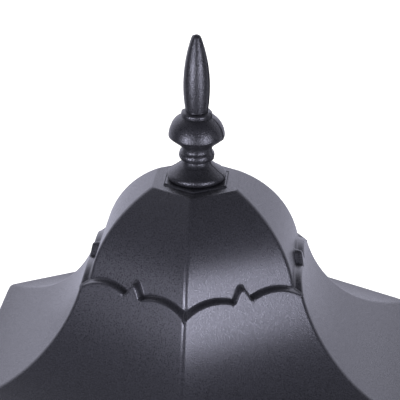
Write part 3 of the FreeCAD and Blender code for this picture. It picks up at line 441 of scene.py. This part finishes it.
def add_boss(made, panel):
    """Drilled boss for a stud, which grows out of the wall of the skirt."""
    def ring(radius, height):
        points = []
        for turn in spread(0.0, 2 * math.pi, BOSS_SIDES):
            a = BOSS_AT + radius * math.cos(turn)
            points.append(panel_place(a, radius * math.sin(turn), height(a), panel))
        return points

    head = ring(BOSS_R, lambda a: lower_height(a) - ROOF_WALL / 2)
    foot = ring(BOSS_R, lambda a: -BOSS_SEAT)
    hole_low = ring(BOSS_HOLE_R, lambda a: -BOSS_SEAT)
    hole_high = ring(BOSS_HOLE_R, lambda a: lower_height(BOSS_AT) - BOSS_SKIN)
    add_grid(made, [head, foot, hole_low, hole_high])
    add_face(made, hole_high)
    add_face(made, head)


# Finial: its outline is arcs through three points, smoothed where they meet
FINIAL_FOOT_R = 11.0
FINIAL_RIM_R = 12.5
FINIAL_RIM_FACE = 1.85
FINIAL_SHOULDER_R = 11.6
FINIAL_RIM_H = 3.3
FINIAL_WAIST_R = 7.6
FINIAL_WAIST_H = 6.2
FINIAL_BELL_H = 8.5
FINIAL_BELL_R = 5.9
FINIAL_RING_R = 7.55
FINIAL_RING_H = 4.0
FINIAL_RING_TOP_R = 6.6
FINIAL_NECK_R = 6.45
FINIAL_NECK_H = 2.6
FINIAL_UNDER_R = 6.75
FINIAL_BULB_R = 11.85
FINIAL_BULB_DROP = 4.1
FINIAL_BULB_RISE = 8.6
FINIAL_BULB_TOP_R = 7.05
FINIAL_COLLAR_R = 6.6
FINIAL_COLLAR_H = 2.2
FINIAL_SPEAR_BASE_R = 4.58
FINIAL_SPEAR_R = 5.57
FINIAL_SPEAR_LOWER = 10.7
FINIAL_SPEAR_UPPER = 21.05
FINIAL_TIP_R = 1.94
FINIAL_TIP_H = 1.5
FINIAL_RECESS_R = 9.1
FINIAL_RECESS_H = 1.0
FINIAL_BORE_H = 14.0
SEAM_HEIGHT = 0.35
SEAM_LEAST_R = 1.0
SEAM_WIDTH = 0.6
SEAM_TURN = math.radians(-17.0)
FINIAL_COLUMNS = 96
FINIAL_STEP = 0.22
FILLET_PASSES = 2
ARC_LEAST_STEPS = 3
TIP_STEPS = 8

# Where the middle of a curved stretch lies, as shares of its run and of its height
FLARE_BEND = (0.53, 0.47)
BELL_BEND = (0.70, 0.42)
UNDER_BEND = (0.44, 0.42)
BULB_BEND = (0.15, 0.44)
SPEAR_LOWER_BEND = (0.71, 0.47)
SPEAR_UPPER_BEND = (0.24, 0.5)
NECK_BEND = 0.3
COLLAR_BEND = 0.41
COLLAR_STEP_IN = 0.25
COLLAR_STEP_UP = 0.15


def bend(start, end, share):
    """Middle point of an arc, at shares of its run and of its height."""
    run = end[0] - start[0]
    rise = end[1] - start[1]
    return start[0] + run * share[0], start[1] + rise * share[1]


def arc_points(start, middle, end, step):
    """Points on the arc through three points, without the first."""
    ax, ay = start
    bx, by = middle
    cx, cy = end
    four_areas = 2 * (ax * (by - cy) + bx * (cy - ay) + cx * (ay - by))
    a_square = ax * ax + ay * ay
    b_square = bx * bx + by * by
    c_square = cx * cx + cy * cy
    ux = (a_square * (by - cy) + b_square * (cy - ay) + c_square * (ay - by)) / four_areas
    uy = (a_square * (cx - bx) + b_square * (ax - cx) + c_square * (bx - ax)) / four_areas
    radius = math.hypot(ax - ux, ay - uy)
    first = math.atan2(ay - uy, ax - ux)
    turn = math.remainder(math.atan2(by - uy, bx - ux) - first, math.tau)
    turn += math.remainder(math.atan2(cy - uy, cx - ux) - first - turn, math.tau)
    count = max(ARC_LEAST_STEPS, round(abs(turn) * radius / step))
    points = []
    for angle in spread(first, first + turn, count)[1:]:
        points.append((ux + radius * math.cos(angle), uy + radius * math.sin(angle)))
    return points


def line_points(start, end, step):
    """Points on the straight line between two points, without the first."""
    count = max(1, round(math.dist(start, end) / step))
    return list(zip(spread(start[0], end[0], count), spread(start[1], end[1], count)))[1:]


def finial_outline():
    """Radius and height up the outside, from the edge of the foot to the tip."""
    bell_top = FINIAL_BELL_H
    ring_top = bell_top + FINIAL_RING_H
    neck_top = ring_top + FINIAL_NECK_H
    widest = neck_top + FINIAL_BULB_DROP
    bulb_top = widest + FINIAL_BULB_RISE
    collar_top = bulb_top + FINIAL_COLLAR_H
    spear_max = collar_top + FINIAL_SPEAR_LOWER
    tip = spear_max + FINIAL_SPEAR_UPPER
    foot = (FINIAL_FOOT_R, 0.0)
    rim = (FINIAL_RIM_R, FINIAL_RIM_FACE)
    shoulder = (FINIAL_SHOULDER_R, FINIAL_RIM_H)
    waist = (FINIAL_WAIST_R, FINIAL_WAIST_H)
    bell = (FINIAL_BELL_R, bell_top)
    ring = (FINIAL_RING_TOP_R, ring_top)
    neck = (FINIAL_UNDER_R, neck_top)
    wide = (FINIAL_BULB_R, widest)
    bulb = (FINIAL_BULB_TOP_R, bulb_top)
    collar_low = (FINIAL_COLLAR_R - COLLAR_STEP_IN, bulb_top + COLLAR_STEP_UP)
    collar = (FINIAL_SPEAR_BASE_R, collar_top)
    spear = (FINIAL_SPEAR_R, spear_max)
    point = (FINIAL_TIP_R, tip)
    arcs = [
        (foot, rim, shoulder),
        (shoulder, bend(shoulder, waist, FLARE_BEND), waist),
        (waist, bend(waist, bell, BELL_BEND), bell),
        (bell, (FINIAL_RING_R, bell_top + FINIAL_RING_H / 2), ring),
        (ring, (FINIAL_NECK_R, ring_top + FINIAL_NECK_H * NECK_BEND), neck),
        (neck, bend(neck, wide, UNDER_BEND), wide),
        (wide, bend(wide, bulb, BULB_BEND), bulb),
        (bulb, None, collar_low),
        (collar_low, (FINIAL_COLLAR_R, bulb_top + FINIAL_COLLAR_H * COLLAR_BEND), collar),
        (collar, bend(collar, spear, SPEAR_LOWER_BEND), spear),
        (spear, bend(spear, point, SPEAR_UPPER_BEND), point),
    ]
    line = [foot]
    for start, middle, end in arcs:
        if middle is None:
            line += line_points(start, end, FINIAL_STEP)
        else:
            line += arc_points(start, middle, end, FINIAL_STEP)
    ball_r = (FINIAL_TIP_R ** 2 + FINIAL_TIP_H ** 2) / (2 * FINIAL_TIP_H)
    half = math.asin(FINIAL_TIP_R / ball_r)
    for angle in spread(half, 0.0, TIP_STEPS)[1:]:
        line.append((ball_r * math.sin(angle), tip + FINIAL_TIP_H - ball_r * (1 - math.cos(angle))))
    for _ in range(FILLET_PASSES):
        smooth = [line[0]]
        for before, here, after in zip(line, line[1:], line[2:]):
            smooth.append(tuple((b + 2 * h + a) / 4 for b, h, a in zip(before, here, after)))
        smooth.append(line[-1])
        line = smooth
    return line


def build_finial(made):
    """Turned outline with the fine raised line that the two halves of a mould leave."""
    outline = finial_outline()
    turns = [SEAM_TURN + math.tau * i / FINIAL_COLUMNS for i in range(FINIAL_COLUMNS)]
    columns = []
    for index, turn in enumerate(turns):
        if index % (FINIAL_COLUMNS // 2) == 0:
            columns += [(turn, -1), (turn, 0), (turn, 1)]
        else:
            columns.append((turn, None))
    columns.append(columns[0])

    def row(spot, raised):
        radius, height = spot
        points = []
        for turn, seam in columns:
            angle = turn
            reach = radius
            if seam is not None and radius > SEAM_LEAST_R:
                angle += seam * SEAM_WIDTH / 2 / radius
                reach += raised if seam == 0 else 0.0
            x = reach * math.cos(angle)
            y = reach * math.sin(angle)
            points.append(Vector((x, y, FINIAL_FOOT + height)))
        return points

    underside = [
        (0.0, FINIAL_BORE_H),
        (STUD_HOLE_R, FINIAL_BORE_H),
        (STUD_HOLE_R, FINIAL_RECESS_H),
        (FINIAL_RECESS_R, FINIAL_RECESS_H),
        (FINIAL_RECESS_R, 0.0),
    ]
    rows = [row(spot, 0.0) for spot in underside]
    rows += [row(spot, SEAM_HEIGHT) for spot in outline]
    add_grid(made, rows)


# Materials
def material(name):
    """A new material with its node tree, its shader and the place on the lamp."""
    made = bpy.data.materials.new(name)
    made.use_nodes = True
    tree = made.node_tree
    shader = tree.nodes["Principled BSDF"]
    place = tree.nodes.new("ShaderNodeTexCoord").outputs["Object"]
    return made, tree, shader, place


def noise(tree, place, size_mm, detail):
    """Noise whose grains are about a size in millimetres."""
    node = tree.nodes.new("ShaderNodeTexNoise")
    node.inputs["Scale"].default_value = 1.0 / (size_mm * MM)
    node.inputs["Detail"].default_value = detail
    tree.links.new(place, node.inputs["Vector"])
    return node.outputs["Fac"]


def ramp(tree, value, low, high, start=0.3, end=0.7):
    """A colour that goes from one to another as a value rises."""
    node = tree.nodes.new("ShaderNodeValToRGB")
    node.color_ramp.elements[0].position = start
    node.color_ramp.elements[1].position = end
    node.color_ramp.elements[0].color = (*low, 1.0)
    node.color_ramp.elements[1].color = (*high, 1.0)
    tree.links.new(value, node.inputs["Fac"])
    return node.outputs["Color"]


def to_range(tree, value, low, high, start=0.3, end=0.7):
    """A number that goes from low to high as a value goes from start to end."""
    node = tree.nodes.new("ShaderNodeMapRange")
    node.inputs["From Min"].default_value = start
    node.inputs["From Max"].default_value = end
    node.inputs["To Min"].default_value = low
    node.inputs["To Max"].default_value = high
    tree.links.new(value, node.inputs["Value"])
    return node.outputs["Result"]


def bump(tree, height, depth_mm, strength=1.0, before=None):
    """The surface's direction, tilted by a height; it starts from another tilt where one is given."""
    node = tree.nodes.new("ShaderNodeBump")
    node.inputs["Strength"].default_value = strength
    node.inputs["Distance"].default_value = depth_mm * MM
    tree.links.new(height, node.inputs["Height"])
    if before is not None:
        tree.links.new(before, node.inputs["Normal"])
    return node.outputs["Normal"]


COAT_DARK = (0.0095, 0.0095, 0.0105)
COAT_LIGHT = (0.0205, 0.0205, 0.0225)
TONE_SPECK = 0.42
GLOSS_SPECK = 0.36
PEEL_SIZE = 3.0
PEEL_DEPTH = 0.05
PEEL_STRENGTH = 0.25


def black_coat(name, paleness, gloss_low, gloss_high, ior, grain_mm, grain_depth):
    """Satin black powder coat: specks of tone and gloss, fine grain and a faint orange peel."""
    made, tree, shader, place = material(name)
    tone = noise(tree, place, TONE_SPECK, detail=0.0)
    dark = [paleness * part for part in COAT_DARK]
    light = [paleness * part for part in COAT_LIGHT]
    shade = ramp(tree, tone, dark, light, start=0.35, end=0.65)
    tree.links.new(shade, shader.inputs["Base Color"])
    gloss_noise = noise(tree, place, GLOSS_SPECK, detail=0.0)
    gloss = to_range(tree, gloss_noise, gloss_low, gloss_high)
    tree.links.new(gloss, shader.inputs["Roughness"])
    peel = bump(tree, noise(tree, place, PEEL_SIZE, detail=1.0), PEEL_DEPTH, PEEL_STRENGTH)
    grain = bump(tree, noise(tree, place, grain_mm, detail=0.0), grain_depth, before=peel)
    tree.links.new(grain, shader.inputs["Normal"])
    shader.inputs["IOR"].default_value = ior
    return made


def clear_glass():
    """Slightly green window glass with a faint film and a slow wave."""
    made, tree, shader, place = material("clear_glass")
    shader.inputs["Base Color"].default_value = (0.94, 0.97, 0.96, 1.0)
    shader.inputs["Transmission Weight"].default_value = 1.0
    shader.inputs["IOR"].default_value = 1.45
    film_noise = noise(tree, place, size_mm=18.0, detail=4.0)
    film = to_range(tree, film_noise, low=0.0, high=0.05, start=0.4, end=0.8)
    tree.links.new(film, shader.inputs["Roughness"])
    wave_noise = noise(tree, place, size_mm=40.0, detail=1.0)
    wave = bump(tree, wave_noise, depth_mm=0.10, strength=0.15)
    tree.links.new(wave, shader.inputs["Normal"])
    return made


def plain_metal(name, dark, light, rough_low, rough_high, grain_mm):
    """Bare metal with uneven tone and gloss and fine scratches."""
    made, tree, shader, place = material(name)
    shade = ramp(tree, noise(tree, place, grain_mm * 4, detail=4.0), dark, light)
    tree.links.new(shade, shader.inputs["Base Color"])
    shader.inputs["Metallic"].default_value = 1.0
    gloss = to_range(tree, noise(tree, place, grain_mm, detail=3.0), rough_low, rough_high)
    tree.links.new(gloss, shader.inputs["Roughness"])
    scratch = bump(tree, noise(tree, place, grain_mm, detail=2.0), depth_mm=0.02, strength=0.3)
    tree.links.new(scratch, shader.inputs["Normal"])
    return made


def plain_solid(name, dark, light, rough_low, rough_high, grain_mm, depth_mm):
    """Rubber, ceramic or plastic with fine pits."""
    made, tree, shader, place = material(name)
    shade = ramp(tree, noise(tree, place, grain_mm * 6, detail=3.0), dark, light)
    tree.links.new(shade, shader.inputs["Base Color"])
    gloss = to_range(tree, noise(tree, place, grain_mm * 3, detail=2.0), rough_low, rough_high)
    tree.links.new(gloss, shader.inputs["Roughness"])
    pits = bump(tree, noise(tree, place, grain_mm, detail=2.0), depth_mm, strength=0.5)
    tree.links.new(pits, shader.inputs["Normal"])
    return made


def opal_bulb(cap_top):
    """White opal glass above a plain nickel cap."""
    made, tree, shader, place = material("opal_bulb")
    height = tree.nodes.new("ShaderNodeSeparateXYZ")
    tree.links.new(place, height.inputs["Vector"])
    on_cap = tree.nodes.new("ShaderNodeMath")
    on_cap.operation = "LESS_THAN"
    on_cap.inputs[1].default_value = cap_top
    tree.links.new(height.outputs["Z"], on_cap.inputs[0])
    haze = noise(tree, place, size_mm=9.0, detail=3.0)
    colour = tree.nodes.new("ShaderNodeMix")
    colour.data_type = "RGBA"
    tree.links.new(on_cap.outputs[0], colour.inputs["Factor"])
    opal = ramp(tree, haze, low=(0.86, 0.85, 0.81), high=(0.92, 0.91, 0.88))
    nickel = ramp(tree, haze, low=(0.62, 0.60, 0.56), high=(0.72, 0.70, 0.66))
    tree.links.new(opal, colour.inputs["A"])
    tree.links.new(nickel, colour.inputs["B"])
    tree.links.new(colour.outputs["Result"], shader.inputs["Base Color"])
    tree.links.new(on_cap.outputs[0], shader.inputs["Metallic"])
    gloss = to_range(tree, haze, low=0.22, high=0.32)
    tree.links.new(gloss, shader.inputs["Roughness"])
    return made


COAT = black_coat(
    "black_coat", paleness=1.0, gloss_low=0.24, gloss_high=0.435,
    ior=1.5, grain_mm=0.40, grain_depth=0.05,
)
TURNED_COAT = black_coat(
    "turned_coat", paleness=0.55, gloss_low=0.26, gloss_high=0.48,
    ior=1.47, grain_mm=0.45, grain_depth=0.11,
)
GLASS = clear_glass()
ZINC = plain_metal(
    "zinc_steel", dark=(0.42, 0.43, 0.45), light=(0.60, 0.60, 0.60),
    rough_low=0.25, rough_high=0.42, grain_mm=0.8,
)
BRASS = plain_metal(
    "brass", dark=(0.60, 0.43, 0.17), light=(0.76, 0.58, 0.27),
    rough_low=0.20, rough_high=0.36, grain_mm=0.9,
)
RUBBER = plain_solid(
    "black_rubber", dark=(0.012, 0.012, 0.012), light=(0.026, 0.026, 0.027),
    rough_low=0.6, rough_high=0.8, grain_mm=0.5, depth_mm=0.04,
)
CERAMIC = plain_solid(
    "white_ceramic", dark=(0.78, 0.76, 0.71), light=(0.86, 0.85, 0.81),
    rough_low=0.12, rough_high=0.24, grain_mm=1.6, depth_mm=0.02,
)
TERMINAL = plain_solid(
    "terminal_plastic", dark=(0.70, 0.69, 0.65), light=(0.80, 0.79, 0.76),
    rough_low=0.4, rough_high=0.55, grain_mm=0.4, depth_mm=0.02,
)
CAP_OVER_HOLDER = 1.0
OPAL = opal_bulb(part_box("lamp_holder")[1].z + CAP_OVER_HOLDER * MM)
BY_SLOT = {
    "black_coat": COAT,
    "clear_glass": GLASS,
    "zinc_steel": ZINC,
    "brass": BRASS,
    "black_rubber": RUBBER,
    "white_ceramic": CERAMIC,
    "terminal_plastic": TERMINAL,
    "opal_bulb": OPAL,
}
SHARP_ANGLE = math.radians(32.0)


def dress(obj, finish):
    obj.data.materials.clear()
    obj.data.materials.append(finish)


for row in frame["record"]["subparts"]:
    node = nodes[row["node"]]
    dress(node, BY_SLOT[row["material_slot"]])
    node.data.shade_smooth()
    node.data.set_sharp_from_angle(angle=SHARP_ANGLE)

roof = new_piece("roof_casting", build_roof, "black_coat", "roof")
soften(roof, EDGE_ROUND, EDGE_ANGLE)
dress(roof, COAT)
finial = new_piece("turned_finial", build_finial, "black_coat", "finial")
dress(finial, TURNED_COAT)

# Camera: it stands where the photograph was taken from; its lengths are in pixels of the picture
EAVE_CORNER_PIXELS = 260.6
PIXEL = EAVE_CORNER_R / EAVE_CORNER_PIXELS
AZIMUTH = math.radians(5.21)
ELEVATION = math.radians(24.3)
DISTANCE = 1580.5
AXIS_AT = (196.72, 178.9)
SIZE = 400.0
SENSOR = 36.0


def way_to(azimuth, elevation):
    """Direction from the lamp to where one stands; azimuth 0 is in front, towards -Y."""
    out = math.cos(elevation)
    return Vector((math.sin(azimuth) * out, -math.cos(azimuth) * out, math.sin(elevation)))


back = way_to(AZIMUTH, ELEVATION)
right = Vector((math.cos(AZIMUTH), math.sin(AZIMUTH), 0.0))
up = back.cross(right)
eye = back * DISTANCE - right * (AXIS_AT[0] - SIZE / 2) + up * (AXIS_AT[1] - SIZE / 2)
camera = bpy.data.objects.new("camera", bpy.data.cameras.new("camera"))
bpy.context.scene.collection.objects.link(camera)
turn = Matrix((right, up, back)).transposed().to_4x4()
camera.matrix_world = Matrix.Translation(eye * PIXEL * MM + Vector((0, 0, ROOF_TOP * MM))) @ turn
camera.data.sensor_width = SENSOR
camera.data.lens = SENSOR * DISTANCE / SIZE
camera.data.clip_start = 0.05
camera.data.clip_end = 100.0
bpy.context.scene.camera = camera

# Floor, with its half width in metres
FLOOR_HALF = 30.0
FLOOR_SIGNS = ((-1, -1), (1, -1), (1, 1), (-1, 1))
floor_mesh = bpy.data.meshes.new("floor")
floor_corners = [(x * FLOOR_HALF, y * FLOOR_HALF, 0.0) for x, y in FLOOR_SIGNS]
floor_mesh.from_pydata(floor_corners, [], [(0, 1, 2, 3)])
floor = bpy.data.objects.new("floor", floor_mesh)
bpy.context.scene.collection.objects.link(floor)
paper, paper_tree, paper_shader, paper_place = material("floor_paper")
paper_tone = noise(paper_tree, paper_place, size_mm=300.0, detail=2.0)
paper_shade = ramp(paper_tree, paper_tone, low=(0.83, 0.82, 0.76), high=(0.86, 0.85, 0.79))
paper_tree.links.new(paper_shade, paper_shader.inputs["Base Color"])
paper_shader.inputs["Roughness"].default_value = 0.9
paper_shader.inputs["Emission Color"].default_value = (1.0, 1.0, 0.97, 1.0)
paper_shader.inputs["Emission Strength"].default_value = 0.35
paper_shader.inputs["Specular IOR Level"].default_value = 0.1
floor_mesh.materials.append(paper)
floor.visible_glossy = False


# Light, in metres
COOL = (0.80, 0.80, 1.0)
WHITE = (1.0, 1.0, 1.0)
BOX_DISTANCE = 1.5
BOX_HEIGHT = 0.95


def area_light(name, place, turn, width, height, radiance, colour):
    """Rectangular light that the camera doesn't see."""
    data = bpy.data.lights.new(name, "AREA")
    data.shape = "RECTANGLE"
    data.size = width
    data.size_y = height
    data.energy = radiance * math.pi * width * height
    data.color = colour
    lamp = bpy.data.objects.new(name, data)
    bpy.context.scene.collection.objects.link(lamp)
    lamp.location = place
    lamp.rotation_mode = "QUATERNION"
    lamp.rotation_quaternion = turn
    lamp.visible_camera = False
    return lamp


def softbox(name, azimuth, width, height, radiance):
    """Light that stands level with the lantern and faces the lamp's axis."""
    way = way_to(math.radians(azimuth), 0.0)
    place = Vector((0.0, 0.0, BOX_HEIGHT)) + way * BOX_DISTANCE
    area_light(name, place, way.to_track_quat("Z", "Y"), width, height, radiance, COOL)


softbox("left_box", azimuth=-33.0, width=0.72, height=0.62, radiance=26.6)
softbox("right_box", azimuth=41.5, width=0.70, height=1.02, radiance=15.0)
floor_light = area_light(
    "floor_light", place=(0.0, 2.6, 2.6), turn=Quaternion(),
    width=3.6, height=3.2, radiance=3.2, colour=WHITE,
)
floor_light.visible_glossy = False

# Room that the coat mirrors: bright behind the lamp, faint at the upper left and dim elsewhere
world = bpy.data.worlds.new("studio")
bpy.context.scene.world = world
world.use_nodes = True
sky = world.node_tree
sky.nodes.clear()
direction = sky.nodes.new("ShaderNodeTexCoord").outputs["Generated"]
parts = sky.nodes.new("ShaderNodeSeparateXYZ")
sky.links.new(direction, parts.inputs["Vector"])
sideways = parts.outputs["X"]
depth = parts.outputs["Y"]
height = parts.outputs["Z"]


def joined(operation, first, second):
    """What a calculation gives for two values, each a number or a node's output."""
    node = sky.nodes.new("ShaderNodeMath")
    node.operation = operation
    for socket, value in zip(node.inputs, (first, second)):
        if isinstance(value, float):
            socket.default_value = value
        else:
            sky.links.new(value, socket)
    return node.outputs[0]


def size_of(value):
    return joined("ABSOLUTE", value, 0.0)


behind = to_range(sky, depth, low=0.0, high=1.0, start=0.15, end=0.45)
climb = to_range(sky, height, low=0.55, high=1.0, start=0.0, end=0.40)
level = to_range(sky, size_of(height), low=1.95, high=0.0, start=0.45, end=0.80)
leftward = to_range(sky, sideways, low=1.18, high=0.97, start=-0.42, end=0.42)
left_side = to_range(sky, sideways, low=0.20, high=0.0, start=-0.60, end=0.10)
overhead = to_range(sky, height, low=0.0, high=1.0, start=0.30, end=0.75)
room = to_range(sky, size_of(sideways), low=0.15, high=0.03, start=0.60, end=0.90)
rising = joined("MULTIPLY", behind, climb)
falling = joined("MULTIPLY", level, leftward)
backdrop = joined("MULTIPLY", rising, falling)
upper_left = joined("MULTIPLY", left_side, overhead)
glow = joined("ADD", joined("ADD", backdrop, upper_left), room)

# The camera sees a plain pale wall in place of that room
seen = sky.nodes.new("ShaderNodeLightPath").outputs["Is Camera Ray"]
shine = sky.nodes.new("ShaderNodeBackground")
shine.inputs["Color"].default_value = (0.82, 0.82, 1.0, 1.0)
sky.links.new(glow, shine.inputs["Strength"])
wall = sky.nodes.new("ShaderNodeBackground")
wall.inputs["Color"].default_value = (0.90, 0.90, 0.91, 1.0)
pick = sky.nodes.new("ShaderNodeMixShader")
sky.links.new(seen, pick.inputs["Fac"])
sky.links.new(shine.outputs["Background"], pick.inputs[1])
sky.links.new(wall.outputs["Background"], pick.inputs[2])
world_out = sky.nodes.new("ShaderNodeOutputWorld")
sky.links.new(pick.outputs["Shader"], world_out.inputs["Surface"])

scene = bpy.context.scene
scene.view_settings.view_transform = "Standard"
scene.view_settings.look = "None"
scene.view_settings.exposure = 0.0
scene.view_settings.gamma = 1.0
